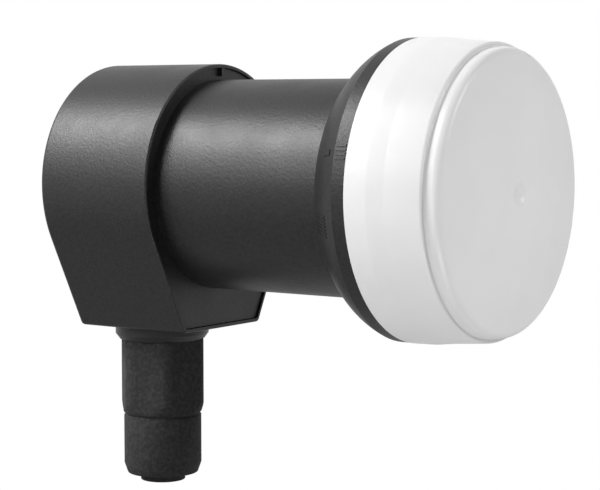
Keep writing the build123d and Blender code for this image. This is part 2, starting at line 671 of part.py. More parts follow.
# Dielectric pucks of the two local oscillators
low_puck_radius = (pocket_outer - pocket_inner) / 2 - PUCK_GAP
high_puck_radius = low_puck_radius - HIGH_PUCK_TRIM / 2
with BuildPart() as low_band_resonator:
    with BuildSketch(Plane.YZ.offset(board_back_x)):
        with Locations(puck_low):
            Circle(low_puck_radius)
    extrude(amount=-PUCK_HEIGHT)
low_band_resonator.part.label = "low_band_resonator"
export_step(low_band_resonator.part, "parts/low_band_resonator.step")

with BuildPart() as high_band_resonator:
    with BuildSketch(Plane.YZ.offset(board_back_x)):
        with Locations(puck_high):
            Circle(high_puck_radius)
    extrude(amount=-PUCK_HEIGHT)
high_band_resonator.part.label = "high_band_resonator"
export_step(high_band_resonator.part, "parts/high_band_resonator.step")

# Tuning screws: through the cover's roof, one over each puck
tuning_tip_x = board_back_x - PUCK_HEIGHT - TUNING_SCREW_CLEAR
tuning_head_x = roof_outer_x - TUNING_SCREW_STAND
with BuildPart() as tuning_screws:
    with BuildSketch(Plane.YZ.offset(tuning_head_x)):
        with Locations(puck_low, puck_high):
            Circle(TUNING_SCREW_DIAMETER / 2)
    extrude(amount=tuning_tip_x - tuning_head_x)
    with BuildSketch(Plane.YZ.offset(tuning_head_x)):
        with Locations(puck_low, puck_high):
            Rectangle(TUNING_SCREW_DIAMETER, DRIVER_SLOT_WIDTH)
    extrude(amount=DRIVER_SLOT_DEPTH, mode=Mode.SUBTRACT)
tuning_screws.part.label = "tuning_screws"
export_step(tuning_screws.part, "parts/tuning_screws.step")

# Mixer, amplifier, regulator and capacitors on the board
with BuildPart() as mixer_chip:
    with BuildSketch(Plane.YZ.offset(board_back_x)):
        with Locations(on_ring(pocket_middle, MIXER_ANGLE)):
            Rectangle(MIXER_SIDE, MIXER_SIDE)
    extrude(amount=-MIXER_HEIGHT)
mixer_chip.part.label = "mixer_chip"
export_step(mixer_chip.part, "parts/mixer_chip.step")

chip_z = contact_z + (CHIP_WIDTH - CONTACT_DIAMETER) / 2
with BuildPart() as if_amplifier_chip:
    with BuildSketch(Plane.YZ.offset(board_back_x)):
        with Locations((CHIP_SETOUT, chip_z)):
            Rectangle(CHIP_LENGTH, CHIP_WIDTH)
    extrude(amount=-AMPLIFIER_HEIGHT)
if_amplifier_chip.part.label = "if_amplifier_chip"
export_step(if_amplifier_chip.part, "parts/if_amplifier_chip.step")

with BuildPart() as voltage_regulator:
    with BuildSketch(Plane.YZ.offset(board_back_x)):
        with Locations((-CHIP_SETOUT, chip_z)):
            Rectangle(CHIP_LENGTH, CHIP_WIDTH)
    extrude(amount=-REGULATOR_HEIGHT)
voltage_regulator.part.label = "voltage_regulator"
export_step(voltage_regulator.part, "parts/voltage_regulator.step")

with BuildPart() as electrolytic_capacitor:
    with BuildSketch(Plane.YZ.offset(board_back_x)):
        with Locations(on_ring(pocket_middle, -MIXER_ANGLE)):
            Circle(ELECTROLYTIC_DIAMETER / 2)
    extrude(amount=-ELECTROLYTIC_HEIGHT)
electrolytic_capacitor.part.label = "electrolytic_capacitor"
export_step(electrolytic_capacitor.part, "parts/electrolytic_capacitor.step")

with BuildPart() as chip_capacitors:
    with BuildSketch(Plane.YZ.offset(board_back_x)):
        with PolarLocations(pocket_middle, CHIP_CAPACITOR_COUNT, CHIP_CAPACITOR_START, CHIP_CAPACITOR_SPAN):
            Rectangle(CHIP_CAPACITOR_LENGTH, CHIP_CAPACITOR_WIDTH)
    extrude(amount=-CHIP_CAPACITOR_WIDTH)
chip_capacitors.part.label = "chip_capacitors"
export_step(chip_capacitors.part, "parts/chip_capacitors.step")

# Absorber pad: stuck to the cover's roof over the first transistors
with BuildPart() as absorber_pad:
    with BuildSketch(Plane.YZ.offset(roof_inner_x)):
        with Locations((0, pocket_middle)):
            Rectangle(ABSORBER_LENGTH, ABSORBER_WIDTH)
    extrude(amount=ABSORBER_THICKNESS)
absorber_pad.part.label = "absorber_pad"
export_step(absorber_pad.part, "parts/absorber_pad.step")

# Connector body: shank in the casting's block, hex in the collar, shoulder and thread below
o_ring_inner = shank_radius + O_RING_LAND
o_ring_middle = o_ring_inner + O_RING_SECTION / 2
with BuildPart() as connector_body:
    with BuildSketch(Plane.XZ):
        with BuildLine():
            Polyline(
                *around_connector(
                    (insulator_radius, thread_floor_z),
                    (thread_radius - THREAD_CHAMFER, thread_floor_z),
                    (thread_radius, thread_floor_z + THREAD_CHAMFER),
                    (thread_radius, shoulder_floor_z),
                    (shoulder_radius, shoulder_floor_z),
                    (shoulder_radius, floor_z),
                    (shank_radius, floor_z),
                    (shank_radius, shank_top_z),
                    (CONTACT_HOLE_DIAMETER / 2, shank_top_z),
                    (CONTACT_HOLE_DIAMETER / 2, insulator_top_z),
                    (insulator_radius, insulator_top_z),
                ),
                close=True,
            )
        make_face()
    revolve(axis=connector_axis)
    with BuildSketch(Plane.XY.offset(hex_floor_z)):
        with Locations((connector_x, 0)):
            RegularPolygon(HEX_ACROSS_FLATS / 2, 6, major_radius=False)
            Circle(shank_radius, mode=Mode.SUBTRACT)
    extrude(amount=HEX_THICKNESS)
    with BuildSketch(Plane.XY.offset(floor_z)):
        with Locations((connector_x, 0)):
            Circle(o_ring_inner + O_RING_SECTION)
            Circle(o_ring_inner, mode=Mode.SUBTRACT)
    extrude(amount=-O_RING_SECTION, mode=Mode.SUBTRACT)
connector_body.part.label = "connector_body"
export_step(connector_body.part, "parts/connector_body.step")

with BuildPart() as connector_o_ring:
    with BuildSketch(Plane.XZ):
        with Locations(*around_connector((o_ring_middle, floor_z - O_RING_SECTION / 2))):
            Circle(O_RING_SECTION / 2)
    revolve(axis=connector_axis)
connector_o_ring.part.label = "connector_o_ring"
export_step(connector_o_ring.part, "parts/connector_o_ring.step")

# Insulator and contact inside the connector: a socket below, a pin bent forwards to the board
with BuildPart() as connector_insulator:
    with BuildSketch(Plane.XZ):
        with BuildLine():
            Polyline(
                *around_connector(
                    (SOCKET_BORE_DIAMETER / 2, insulator_floor_z),
                    (insulator_radius, insulator_floor_z),
                    (insulator_radius, insulator_top_z),
                    (contact_radius, insulator_top_z),
                    (contact_radius, socket_top_z),
                    (socket_radius, socket_top_z),
                    (socket_radius, socket_floor_z),
                    (SOCKET_BORE_DIAMETER / 2, socket_floor_z),
                ),
                close=True,
            )
        make_face()
    revolve(axis=connector_axis)
connector_insulator.part.label = "connector_insulator"
export_step(connector_insulator.part, "parts/connector_insulator.step")

with BuildPart() as connector_contact:
    with BuildLine():
        FilletPolyline(
            (connector_x, 0, socket_top_z),
            (connector_x, 0, contact_z),
            (board_back_x, 0, contact_z),
            radius=CONTACT_BEND,
        )
    with BuildSketch(Plane.XY.offset(socket_top_z)):
        with Locations((connector_x, 0)):
            Circle(contact_radius)
    sweep()
    with BuildSketch(Plane.XY.offset(socket_floor_z)):
        with Locations((connector_x, 0)):
            Circle(socket_radius)
    extrude(amount=SOCKET_LENGTH)
    with BuildSketch(Plane.XY.offset(socket_floor_z)):
        with Locations((connector_x, 0)):
            Circle(SOCKET_BORE_DIAMETER / 2)
    extrude(amount=SOCKET_BORE_DEPTH, mode=Mode.SUBTRACT)
connector_contact.part.label = "connector_contact"
export_step(connector_contact.part, "parts/connector_contact.step")

# Weather boot: six flats above, round tail below, lip on the connector's shoulder, cable bore
boot_cavity_radius = BOOT_CAVITY_DIAMETER / 2
boot_flat = boot_cavity_radius + BOOT_FLAT_WALL
boot_corner = boot_flat + BOOT_CORNER_STAND
boot_tail = boot_cavity_radius + BOOT_TAIL_WALL
cable_bore = CABLE_BORE_DIAMETER / 2
cable_lip = cable_bore + CABLE_LIP_WALL
boot_lip = shoulder_radius + BOOT_LIP_GAP
with BuildPart() as weather_boot:
    with BuildSketch(Plane.XY.offset(boot_top_z)):
        with Locations((connector_x, 0)):
            RegularPolygon(boot_flat, 6, major_radius=False, rotation=BOOT_HEX_TURN)
    extrude(amount=groove_top_z - boot_top_z)
    with BuildSketch(Plane.XZ):
        with BuildLine():
            Polyline(
                *around_connector(
                    (0, boot_top_z),
                    (boot_corner - BOOT_TOP_BEVEL, boot_top_z),
                    (boot_corner, boot_top_z - BOOT_TOP_BEVEL),
                    (boot_corner, hex_bevel_z),
                    (boot_tail, groove_top_z),
                    (0, groove_top_z),
                ),
                close=True,
            )
        make_face()
    revolve(axis=connector_axis, mode=Mode.INTERSECT)
    with BuildSketch(Plane.XZ):
        with BuildLine():
            Polyline(
                *around_connector(
                    (0, groove_top_z),
                    (boot_tail - BOOT_GROOVE_DEPTH, groove_top_z),
                    (boot_tail - BOOT_GROOVE_DEPTH, groove_floor_z),
                    (boot_tail, groove_floor_z),
                    (boot_tail, tail_floor_z + BOOT_TAIL_BEVEL_HEIGHT),
                    (boot_tail - BOOT_TAIL_BEVEL_WIDTH, tail_floor_z),
                    (cable_lip, tail_floor_z),
                    (cable_lip, boot_floor_z),
                    (0, boot_floor_z),
                ),
                close=True,
            )
        make_face()
    revolve(axis=connector_axis)
    with BuildSketch(Plane.XZ):
        with BuildLine():
            Polyline(
                *around_connector(
                    (0, boot_top_z),
                    (boot_lip, boot_top_z),
                    (boot_lip, lip_floor_z),
                    (boot_cavity_radius, lip_floor_z),
                    (boot_cavity_radius, cavity_floor_z),
                    (cable_bore, cavity_floor_z),
                    (cable_bore, boot_floor_z),
                    (0, boot_floor_z),
                ),
                close=True,
            )
        make_face()
    revolve(axis=connector_axis, mode=Mode.SUBTRACT)
weather_boot.part.label = "weather_boot"
export_step(weather_boot.part, "parts/weather_boot.step")
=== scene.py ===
"""Looks of a universal satellite LNB over its CAD frame.

Metres, in the frame of the CAD part: +X points out of the cap, +Z is up and the connector points down.
The drum and the shroud keep their CAD shapes and get moulded plastic. The soft edged cap, the skew scale on
the flare, the rubber weather boot and the threaded connector are pieces of their own.
"""

import json
import math

import bmesh
import bpy
from bpy.props import FloatProperty, FloatVectorProperty, IntProperty, PointerProperty
from mathutils import Matrix, Vector


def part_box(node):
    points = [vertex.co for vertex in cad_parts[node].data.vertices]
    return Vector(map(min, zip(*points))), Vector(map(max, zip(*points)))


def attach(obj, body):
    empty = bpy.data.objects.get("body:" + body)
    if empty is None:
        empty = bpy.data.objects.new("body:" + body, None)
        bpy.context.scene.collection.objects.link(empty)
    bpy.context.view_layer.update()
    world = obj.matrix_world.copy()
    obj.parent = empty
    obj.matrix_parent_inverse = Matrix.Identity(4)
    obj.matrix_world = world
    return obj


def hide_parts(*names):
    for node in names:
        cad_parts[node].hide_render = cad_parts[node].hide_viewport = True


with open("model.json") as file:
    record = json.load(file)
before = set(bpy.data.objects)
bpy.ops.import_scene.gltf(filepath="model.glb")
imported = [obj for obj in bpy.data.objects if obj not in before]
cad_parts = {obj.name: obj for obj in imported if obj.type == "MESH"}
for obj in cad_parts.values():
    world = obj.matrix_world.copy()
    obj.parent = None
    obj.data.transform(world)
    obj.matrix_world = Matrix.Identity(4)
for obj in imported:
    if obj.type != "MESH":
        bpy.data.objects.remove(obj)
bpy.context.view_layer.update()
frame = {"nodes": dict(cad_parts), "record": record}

bl_info = {
    "name": "Satellite LNB looks",
    "version": (1, 0, 0),
    "blender": (4, 5, 0),
    "location": "3D View > Sidebar > LNB",
    "description": "Dresses the CAD model of a satellite LNB and sets up its studio",
    "category": "Object",
}

# Units, directions and fineness
MM = 0.001
UP = Vector((0, 0, 1))
AHEAD = Vector((1, 0, 0))
WHITE = (1, 1, 1, 1)
WELD = 0.001 * MM  # points closer than this are one
ROUND_STEPS = 180  # faces round the cap and the boot
HEX_SIDES = 6

# Places and sizes taken from the CAD frame
MOUNTS = {mount["name"]: mount["dims"] for mount in frame["record"]["mounts"]}
SLOT_OF = {part["node"]: part["material_slot"] for part in frame["record"]["subparts"]}
COLOUR_OF = {slot["slot"]: slot["base_color"] for slot in frame["record"]["materials"]}
NECK_RADIUS = MOUNTS["neck"]["r_mm"] * MM
NECK_END = MOUNTS["neck"]["length_mm"] * MM / 2
THREAD_RADIUS = MOUNTS["f_thread"]["r_mm"] * MM
CABLE_BORE = MOUNTS["cable_entry"]["r_mm"] * MM
FLANGE_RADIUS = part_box("front_shroud")[1].z
BOOT_LOW, BOOT_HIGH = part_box("weather_boot")
CAP_LOW, CAP_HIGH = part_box("front_cap")
CONNECTOR_LOW, CONNECTOR_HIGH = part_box("connector_body")
INSULATOR_LOW, INSULATOR_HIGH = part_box("connector_insulator")
CONNECTOR_AXIS = Vector(((INSULATOR_LOW.x + INSULATOR_HIGH.x) / 2, 0, 0))
CONNECTOR_BORE = (INSULATOR_HIGH.y - INSULATOR_LOW.y) / 2
HEX_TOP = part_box("connector_o_ring")[1].z


# Settings that a user would change
def length(name, description, default):
    """A length, with its default in millimetres."""
    return FloatProperty(
        name=name, description=description, subtype="DISTANCE", unit="LENGTH", precision=5,
        default=default * MM)


def position(name, description, default):
    """A place, with its default in millimetres."""
    return FloatVectorProperty(
        name=name, description=description, subtype="TRANSLATION", unit="LENGTH", precision=5, size=3,
        default=[value * MM for value in default])


def colour(name, description, default):
    """A colour by its red, green and blue."""
    return FloatVectorProperty(
        name=name, description=description, subtype="COLOR", size=3, min=0.0, max=1.0, default=default)


def factor(name, description, default):
    """A share from 0 to 1."""
    return FloatProperty(
        name=name, description=description, subtype="FACTOR", min=0.0, max=1.0, default=default)


def angle(name, description, default):
    """A turn, with its default in degrees."""
    return FloatProperty(
        name=name, description=description, subtype="ANGLE", unit="ROTATION", default=math.radians(default))


def power(name, description, default):
    """The power of a lamp in watts."""
    return FloatProperty(name=name, description=description, unit="POWER", min=0.0, default=default)


class HousingSettings(bpy.types.PropertyGroup):
    """Black plastic of the drum, the neck and the flare."""

    colour: colour("Colour", "Base colour of the plastic", (0.006, 0.006, 0.006))
    grain: length("Grain", "Width of one grain of the moulded texture", 0.55)
    grain_depth: length("Grain depth", "Height of the moulded texture", 0.045)
    roughness: factor("Roughness", "Mean roughness of the surface", 0.43)
    sheen: factor("Reflection", "Specular level of the plastic", 0.34)


class ScaleSettings(bpy.types.PropertyGroup):
    """Raised skew scale on the flare and its index on the flange."""

    flare_length: length("Flare length", "Length of the flare along the neck's axis", 8.0)
    flare_bulge: length("Flare bulge", "Height of the flare's arc over its chord", 1.0)
    flange_width: length("Flange width", "Width of the flange behind the cap", 2.5)
    ticks: IntProperty(name="Ticks", description="Number of ticks on the flare", default=7, min=1)
    first: angle("First", "Turn of the first tick below level", 7.6)
    step: angle("Step", "Turn from tick to tick", 1.3)
    tick_width: length("Tick width", "Width of one tick", 0.3)
    tick_length: length("Tick length", "Length of one tick along the flare", 4.6)
    setback: length("Setback", "Start of the ticks from the neck", 4.0)
    index: angle("Index", "Turn of the index below level", -16)
    index_width: length("Index width", "Width of the index bar", 1.0)
    index_length: length("Index length", "Length of the index bar along the flare", 2.0)
    index_setback: length("Index setback", "Start of the index bar from the neck", 7.6)
    ridges: IntProperty(name="Ridges", description="Ridges on the flange beside the index", default=4, min=1)
    ridge_width: length("Ridge width", "Width of one ridge", 0.4)
    ridge_pitch: length("Ridge pitch", "Spacing of the ridges", 0.75)
    relief: length("Relief", "Height of the scale over the flare", 0.12)


class CapSettings(bpy.types.PropertyGroup):
    """Shape and white plastic of the front cap."""

    colour: colour("Colour", "Base colour of the cap", (0.64, 0.64, 0.64))
    roughness: factor("Roughness", "Mean roughness of the surface", 0.41)
    band: length("Band", "Length of the band by the flange", 4.2)
    band_draft: length("Band draft", "Narrowing over the band", 0.1)
    step: length("Step", "Length of the gentle step", 3.2)
    step_draft: length("Step draft", "Narrowing over the step", 0.4)
    side: length("Side", "Length of the side ahead of the step", 6.9)
    side_draft: length("Side draft", "Narrowing over the side", 0.55)
    step_softness: length("Step softness", "Rounding of the step", 4.0)
    crest: length("Crest", "Rounding of the side's front edge", 0.5)
    groove: length("Groove", "Width of the groove round the face", 0.9)
    groove_depth: length("Groove depth", "Depth of the groove below the crest", 0.1)
    groove_softness: length("Groove softness", "Rounding of the groove's floor", 0.4)
    stand: length("Stand", "Edge of the face ahead of the crest", 2.7)
    face_edge: length("Face edge", "Rounding of the face's edge", 1.5)
    dome: length("Dome", "Rise of the face over its edge", 1.55)
    dimple: length("Dimple", "Radius of the dimple in the face", 1.95)
    dimple_depth: length("Dimple depth", "Depth of the dimple", 0.65)
    bore: length("Bore", "Inner radius of the skirt", 25.02)
    bore_length: length("Bore length", "Depth of the skirt over the spigot", 5.3)
    side_wall: length("Side wall", "Wall behind the edge of the face", 1.9)
    face_wall: length("Face wall", "Wall of the face", 1.8)


class BootSettings(bpy.types.PropertyGroup):
    """Shape and rubber of the weather boot."""

    colour: colour("Colour", "Base colour of the rubber", (0.03, 0.03, 0.03))
    flat: length("Flat", "From the axis to one of the six flats", 7.8)
    corner: length("Corner", "Radius over the six corners", 8.5)
    turn: angle("Turn", "Turn of the six flats about the axis", 16.5)
    hex_length: length("Hex length", "Length of the flats above the bevel", 12.7)
    bevel_height: length("Bevel height", "Height of the bevel below the flats", 2.0)
    tail: length("Tail", "Radius of the round tail", 7.65)
    groove_depth: length("Groove depth", "Depth of the groove above the tail", 0.3)
    groove_width: length("Groove width", "Width of the groove above the tail", 0.5)
    tail_bevel: length("Tail bevel", "Radial width of the bevel at the lower end", 0.7)
    tail_bevel_height: length("Tail bevel height", "Height of the bevel at the lower end", 2.0)
    cable_lip: length("Cable lip", "Outer radius of the lip round the cable", 4.4)
    cable_lip_length: length("Cable lip length", "Length of the lip round the cable", 1.5)
    cavity: length("Cavity", "Radius of the cavity round the plug", 6.4)
    cavity_length: length("Cavity length", "Length of the cavity round the plug", 17.25)
    lip: length("Lip", "Inner radius of the upper lip", 5.68)
    lip_length: length("Lip length", "Length of the upper lip", 2.0)
    edge: length("Edge", "Rounding of the rubber's edges", 0.16)


class ConnectorSettings(bpy.types.PropertyGroup):
    """Shape of the threaded F connector."""

    pitch: length("Pitch", "Pitch of the thread", 25.4 / 32)
    depth: length("Depth", "Depth of the thread", 0.487)
    thread_length: length("Thread length", "Length of the thread", 11.0)
    chamfer: length("Chamfer", "Chamfer at the open end", 0.4)
    shoulder: length("Shoulder", "Radius of the shoulder above the thread", 5.6)
    shank: length("Shank", "Radius of the shank in the casting", 4.2)
    hex_flats: length("Hex", "Hex across its flats", 12.0)
    hex_thickness: length("Hex thickness", "Thickness of the hex", 2.5)
    contact_hole: length("Contact hole", "Radius of the hole for the contact", 1.7)
    edge: length("Edge", "Bevel of the turned edges", 0.12)


class StageSettings(bpy.types.PropertyGroup):
    """Camera, floor and studio light."""

    key_power: power("Key", "Power of the light over the drum and the neck", 0.165)
    front_power: power("Front", "Power of the light on the boot and the drum's side", 0.03)
    face_power: power("Face", "Power of the light on the cap's face", 0.019)
    fill_power: power("Fill", "Power of the light on the cap from below", 0.035)
    ambient: factor("Ambient", "Soft light from all round", 0.45)
    floor_colour: colour("Floor colour", "Colour of the floor's paper", (0.92, 0.92, 0.92))
    floor_glow: factor("Floor glow", "Paleness added to the floor as it is seen", 0.15)
    floor_drop: length("Floor drop", "Floor below the end of the boot", 250)
    floor_radius: length("Floor radius", "Radius of the round floor", 900)
    lens: FloatProperty(name="Lens", description="Focal length of the camera", unit="CAMERA", default=106.33)
    sensor: FloatProperty(name="Sensor", description="Width of the sensor", unit="CAMERA", default=36)
    camera_place: position("Camera place", "Where the camera stands", (188.31, -271.62, 15.21))
    camera_tilt: angle("Camera tilt", "Turn of the view up from straight down", 85.48)
    camera_turn: angle("Camera turn", "Turn of the view about the upright", 34.61)


# Materials
class Finish:
    """A node material under construction, with its Principled shader and Object coordinates."""

    def __init__(self, name):
        self.material = bpy.data.materials.new(name)
        self.material.use_nodes = True
        self.nodes = self.material.node_tree.nodes
        self.links = self.material.node_tree.links
        self.shader = self.nodes["Principled BSDF"]
        self.place = self.nodes.new("ShaderNodeTexCoord")

    def set(self, **values):
        """Constant values go on the shader's own sockets."""
        for name, value in values.items():
            self.shader.inputs[name.replace("_", " ").title().replace("Ior", "IOR")].default_value = value

    def noise(self, width, detail=2.0, stretch=(1, 1, 1)):
        """Cloudy texture of a given width, drawn out along an axis by a small stretch value there."""
        texture = self.nodes.new("ShaderNodeTexNoise")
        texture.inputs["Scale"].default_value = 1 / width
        texture.inputs["Detail"].default_value = detail
        mapping = self.nodes.new("ShaderNodeMapping")
        mapping.inputs["Scale"].default_value = stretch
        self.links.new(self.place.outputs["Object"], mapping.inputs["Vector"])
        self.links.new(mapping.outputs["Vector"], texture.inputs["Vector"])
        return texture.outputs["Fac"]

    def spread(self, source, low, high, start=0.3, end=0.7):
        """A texture's values laid out between two numbers."""
        node = self.nodes.new("ShaderNodeMapRange")
        node.inputs["From Min"].default_value = start
        node.inputs["From Max"].default_value = end
        node.inputs["To Min"].default_value = low
        node.inputs["To Max"].default_value = high
        self.links.new(source, node.inputs["Value"])
        return node.outputs["Result"]

    def blend(self, factor, first, second):
        """Two colours mixed by a texture's values."""
        node = self.nodes.new("ShaderNodeMix")
        node.data_type = "RGBA"
        self.links.new(factor, node.inputs["Factor"])
        node.inputs["A"].default_value = (*first, 1)
        node.inputs["B"].default_value = (*second, 1)
        return node.outputs["Result"]

    def relief(self, source, depth):
        """Bump from a texture's values."""
        node = self.nodes.new("ShaderNodeBump")
        node.inputs["Distance"].default_value = depth
        self.links.new(source, node.inputs["Height"])
        return node.outputs["Normal"]

    def feed(self, socket, source):
        """Values that vary over the surface are linked to a socket of the shader."""
        self.links.new(source, self.shader.inputs[socket])

    def mottle(self, colour, dark, light, width, detail=2.0, start=0.3, end=0.7):
        """Base colour that wanders between a darker and a lighter tint."""
        cloud = self.spread(self.noise(width, detail), 0, 1, start, end)
        self.feed("Base Color", self.blend(cloud, tint(colour, dark), tint(colour, light)))

    def dull(self, roughness, swing, width):
        """Roughness that wanders about its mean."""
        self.feed("Roughness", self.spread(self.noise(width), roughness - swing, roughness + swing))

    def grain(self, width, depth, detail=2.0, stretch=(1, 1, 1)):
        """Relief of a given width and depth."""
        self.feed("Normal", self.relief(self.noise(width, detail, stretch), depth))


def tint(colour, factor):
    """A colour made darker or lighter."""
    return tuple(min(1.0, channel * factor) for channel in colour)


def grained_plastic(settings):
    """Matt black plastic with a fine moulded grain and a slightly uneven sheen."""
    finish = Finish("grained_black_plastic")
    finish.mottle(settings.colour, dark=0.6, light=1.6, width=settings.grain * 1.3, detail=3.0)
    finish.dull(settings.roughness, swing=0.03, width=6 * MM)
    finish.grain(settings.grain, settings.grain_depth)
    finish.set(specular_ior_level=settings.sheen)
    return finish.material


def cap_plastic(settings):
    """White half matt plastic that lets a little light through."""
    finish = Finish("white_cap_plastic")
    finish.mottle(settings.colour, dark=0.98, light=1.01, width=9 * MM)
    finish.dull(settings.roughness, swing=0.03, width=2.5 * MM)
    finish.grain(width=0.7 * MM, depth=0.004 * MM)
    finish.set(subsurface_weight=0.3, subsurface_scale=0.5 * MM, subsurface_radius=(1, 1, 1))
    return finish.material


def boot_rubber(settings):
    """Dull rubber with a breath of dust and faint scuffs along its length."""
    finish = Finish("boot_rubber")
    finish.mottle(settings.colour, dark=0.85, light=1.5, width=0.7 * MM, detail=6.0, start=0.4, end=0.75)
    finish.dull(roughness=0.68, swing=0.06, width=3 * MM)
    finish.grain(width=0.5 * MM, depth=0.02 * MM, detail=3.0, stretch=(1, 1, 0.35))
    finish.set(specular_ior_level=0.05)
    return finish.material


def seal_rubber(name):
    """Soft black rubber of the seals."""
    finish = Finish(name)
    finish.mottle(COLOUR_OF[name], dark=0.7, light=1.3, width=1.2 * MM)
    finish.dull(roughness=0.6, swing=0.08, width=1.5 * MM)
    finish.grain(width=0.25 * MM, depth=0.006 * MM)
    return finish.material


def cast_alloy(name):
    """Die cast alloy with its flow marks and a pitted skin."""
    finish = Finish(name)
    finish.mottle(COLOUR_OF[name], dark=0.86, light=1.08, width=4 * MM, detail=4.0)
    finish.dull(roughness=0.44, swing=0.1, width=2 * MM)
    finish.grain(width=0.4 * MM, depth=0.012 * MM, detail=4.0)
    finish.set(metallic=1.0)
    return finish.material


def turned_metal(name):
    """Bright metal with the fine lines of turning and drawing."""
    finish = Finish(name)
    finish.mottle(COLOUR_OF[name], dark=0.92, light=1.05, width=1.5 * MM)
    finish.dull(roughness=0.28, swing=0.08, width=0.8 * MM)
    finish.grain(width=0.12 * MM, depth=0.003 * MM, stretch=(0.15, 0.15, 1))
    finish.set(metallic=1.0)
    return finish.material


def coated_board(name):
    """Green coating with paler tracks over the copper below."""
    finish = Finish(name)
    tracks = finish.nodes.new("ShaderNodeTexBrick")
    for socket, lightness in (("Color1", 1), ("Color2", 1.25), ("Mortar", 2.2)):
        tracks.inputs[socket].default_value = (*tint(COLOUR_OF[name], lightness), 1)
    tracks.inputs["Scale"].default_value = 1 / (6 * MM)
    turn = finish.nodes.new("ShaderNodeMapping")
    turn.inputs["Rotation"].default_value = (0, math.pi / 2, 0)
    finish.links.new(finish.place.outputs["Object"], turn.inputs["Vector"])
    finish.links.new(turn.outputs["Vector"], tracks.inputs["Vector"])
    finish.feed("Base Color", tracks.outputs["Color"])
    finish.dull(roughness=0.35, swing=0.06, width=2 * MM)
    finish.grain(width=0.3 * MM, depth=0.004 * MM)
    return finish.material


def fired_ceramic(name):
    """Cream ceramic with fine specks."""
    finish = Finish(name)
    finish.mottle(COLOUR_OF[name], dark=0.88, light=1.05, width=0.3 * MM, detail=4.0)
    finish.dull(roughness=0.5, swing=0.08, width=1 * MM)
    finish.grain(width=0.2 * MM, depth=0.004 * MM)
    return finish.material


def moulded_epoxy(name):
    """Dark moulding compound of the chips and the pad."""
    finish = Finish(name)
    finish.mottle(COLOUR_OF[name], dark=0.75, light=1.4, width=0.25 * MM, detail=3.0)
    finish.dull(roughness=0.62, swing=0.06, width=1 * MM)
    finish.grain(width=0.15 * MM, depth=0.006 * MM)
    return finish.material


def white_insulator(name):
    """Waxy white insulator."""
    finish = Finish(name)
    finish.mottle(COLOUR_OF[name], dark=0.95, light=1.0, width=2 * MM)
    finish.dull(roughness=0.4, swing=0.05, width=1 * MM)
    finish.grain(width=0.3 * MM, depth=0.003 * MM)
    finish.set(subsurface_weight=0.3, subsurface_scale=1 * MM, subsurface_radius=(1, 1, 1))
    return finish.material


# The finish of each material slot inside
INNER_FINISHES = {
    "seal_rubber": seal_rubber,
    "cast_alloy": cast_alloy,
    "board": coated_board,
    "screw_steel": turned_metal,
    "brass": turned_metal,
    "ceramic": fired_ceramic,
    "chip_black": moulded_epoxy,
    "can_alloy": turned_metal,
    "white_insulator": white_insulator,
}


# Steps that the pieces share
def dress(node, material):
    """Puts a material on a CAD node."""
    for slot in frame["nodes"][node].material_slots:
        slot.material = material


def finished(name, mesh, material, body, sharp=30):
    """The shape becomes an object that rides on a body, smooth where it turns by less than a sharp angle."""
    bmesh.ops.recalc_face_normals(mesh, faces=mesh.faces)
    for face in mesh.faces:
        face.smooth = True
    for edge in mesh.edges:
        edge.smooth = edge.calc_face_angle(0) < math.radians(sharp)
    data = bpy.data.meshes.new(name)
    mesh.to_mesh(data)
    mesh.free()
    data.materials.append(material)
    piece = bpy.data.objects.new(name, data)
    bpy.context.scene.collection.objects.link(piece)
    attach(piece, body)
    return piece


def wire(mesh, places, closed=False):
    """Points and edges through a row of places, ready to be spun."""
    verts = [mesh.verts.new(place) for place in places]
    ends = verts[1:] + verts[:1] if closed else verts[1:]
    edges = [mesh.edges.new(pair) for pair in zip(verts, ends)]
    return verts + edges


def lathe(mesh, outline, steps, cuts=None):
    """A closed outline of radius and height turned about the connector's axis.

    The cuts say how many more points the stretch after a corner gets, by the corner's place in the outline.
    """
    corners = [CONNECTOR_AXIS + Vector((radius, 0, height)) for radius, height in outline]
    places = []
    for index, (start, end) in enumerate(zip(corners, corners[1:] + corners[:1])):
        parts = 1 + (cuts or {}).get(index, 0)
        places += [start.lerp(end, count / parts) for count in range(parts)]
    bmesh.ops.spin(
        mesh, geom=wire(mesh, places, closed=True), cent=CONNECTOR_AXIS, axis=UP, angle=math.tau, steps=steps,
        use_merge=True)


def round_edges(mesh, width, segments, least=20):
    """Rounds the edges that turn by more than a least angle in degrees."""
    bmesh.ops.recalc_face_normals(mesh, faces=mesh.faces)
    sharp = [edge for edge in mesh.edges if edge.calc_face_angle(0) > math.radians(least)]
    bmesh.ops.bevel(
        mesh, geom=sharp, offset=width, offset_type="OFFSET", affect="EDGES", segments=segments,
        profile=0.5, material=-1, clamp_overlap=True)


# Housing
class LNB_OT_housing(bpy.types.Operator):
    """Puts the grained black plastic on the drum and the shroud"""

    bl_idname = "lnb.housing"
    bl_label = "Housing"

    def execute(self, context):
        material = grained_plastic(context.scene.lnb_housing)
        dress("rear_housing", material)
        dress("front_shroud", material)
        return {"FINISHED"}


# Skew scale
BAR_STEPS = 8  # straight runs along a bar that follows the flare
RIDGE_SHARE = 0.8  # how much of the flange's width a ridge crosses


